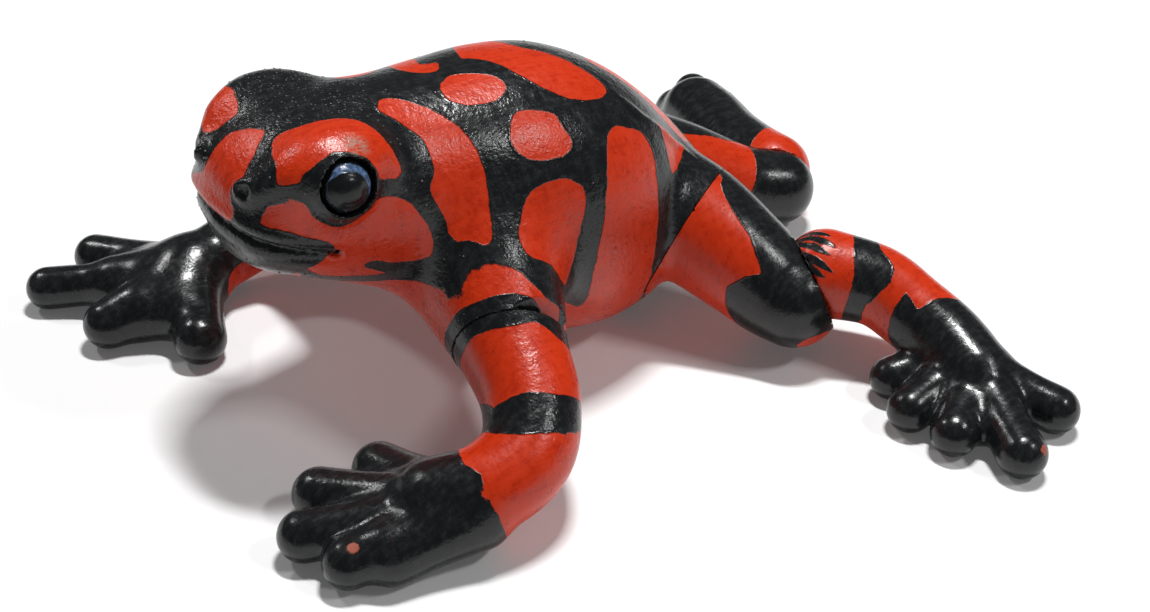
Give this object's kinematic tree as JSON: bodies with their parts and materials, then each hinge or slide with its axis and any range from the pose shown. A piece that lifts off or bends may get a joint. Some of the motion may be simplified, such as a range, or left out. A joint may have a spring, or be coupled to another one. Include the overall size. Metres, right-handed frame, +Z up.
{
  "type": "crawling frog figure",
  "caption": "Hand-painted vinyl poison-frog figure crawling on splayed hands and feet, with plug-in limbs that turn stiffly on barbed pegs.",
  "frame": {"origin": "middle of the figure's footprint, on the surface it stands on", "axes": "+Z up; the snout points along -X and the frog's left side is -Y"},
  "size_m": [0.0898, 0.0864, 0.0329],
  "materials": {
    "painted_vinyl": "brushed red and black enamel over red vinyl, glossy",
    "eye_gloss": "high-gloss black bead with a slate-blue iris line"
  },
  "bodies": {
    "trunk": {"trunk": "painted_vinyl", "left_eye": "eye_gloss", "right_eye": "eye_gloss"},
    "left_arm": {"left_arm": "painted_vinyl"},
    "right_arm": {"right_arm": "painted_vinyl"},
    "left_thigh": {"left_thigh": "painted_vinyl"},
    "right_thigh": {"right_thigh": "painted_vinyl"},
    "left_shank": {"left_shank": "painted_vinyl"},
    "right_shank": {"right_shank": "painted_vinyl"}
  },
  "joints": [
    {"name": "left_shoulder", "type": "hinge", "parent": "trunk", "child": "left_arm", "pos_m": [-0.0152, -0.0108, 0.0116], "axis": [-0.4187, -0.8673, -0.2692], "range_deg": [-35, 12]},
    {"name": "right_shoulder", "type": "hinge", "parent": "trunk", "child": "right_arm", "pos_m": [-0.0156, 0.023, 0.0114], "axis": [-0.44, 0.8499, -0.29], "range_deg": [-12, 35]},
    {"name": "left_hip", "type": "hinge", "parent": "trunk", "child": "left_thigh", "pos_m": [0.0118, -0.0028, 0.0116], "axis": [0.4592, -0.7985, -0.3893], "range_deg": [-25, 10]},
    {"name": "right_hip", "type": "hinge", "parent": "trunk", "child": "right_thigh", "pos_m": [0.0161, 0.0124, 0.0102], "axis": [0.8996, -0.12, -0.4198], "range_deg": [-8, 25]},
    {"name": "left_knee", "type": "hinge", "parent": "left_thigh", "child": "left_shank", "pos_m": [0.0188, -0.0145, 0.0072], "axis": [0.8547, -0.3721, 0.362], "range_deg": [-30, 10]},
    {"name": "right_knee", "type": "hinge", "parent": "right_thigh", "child": "right_shank", "pos_m": [0.033, 0.0081, 0.0047], "axis": [0.6226, 0.7732, 0.1205], "range_deg": [-10, 30]}
  ]
}
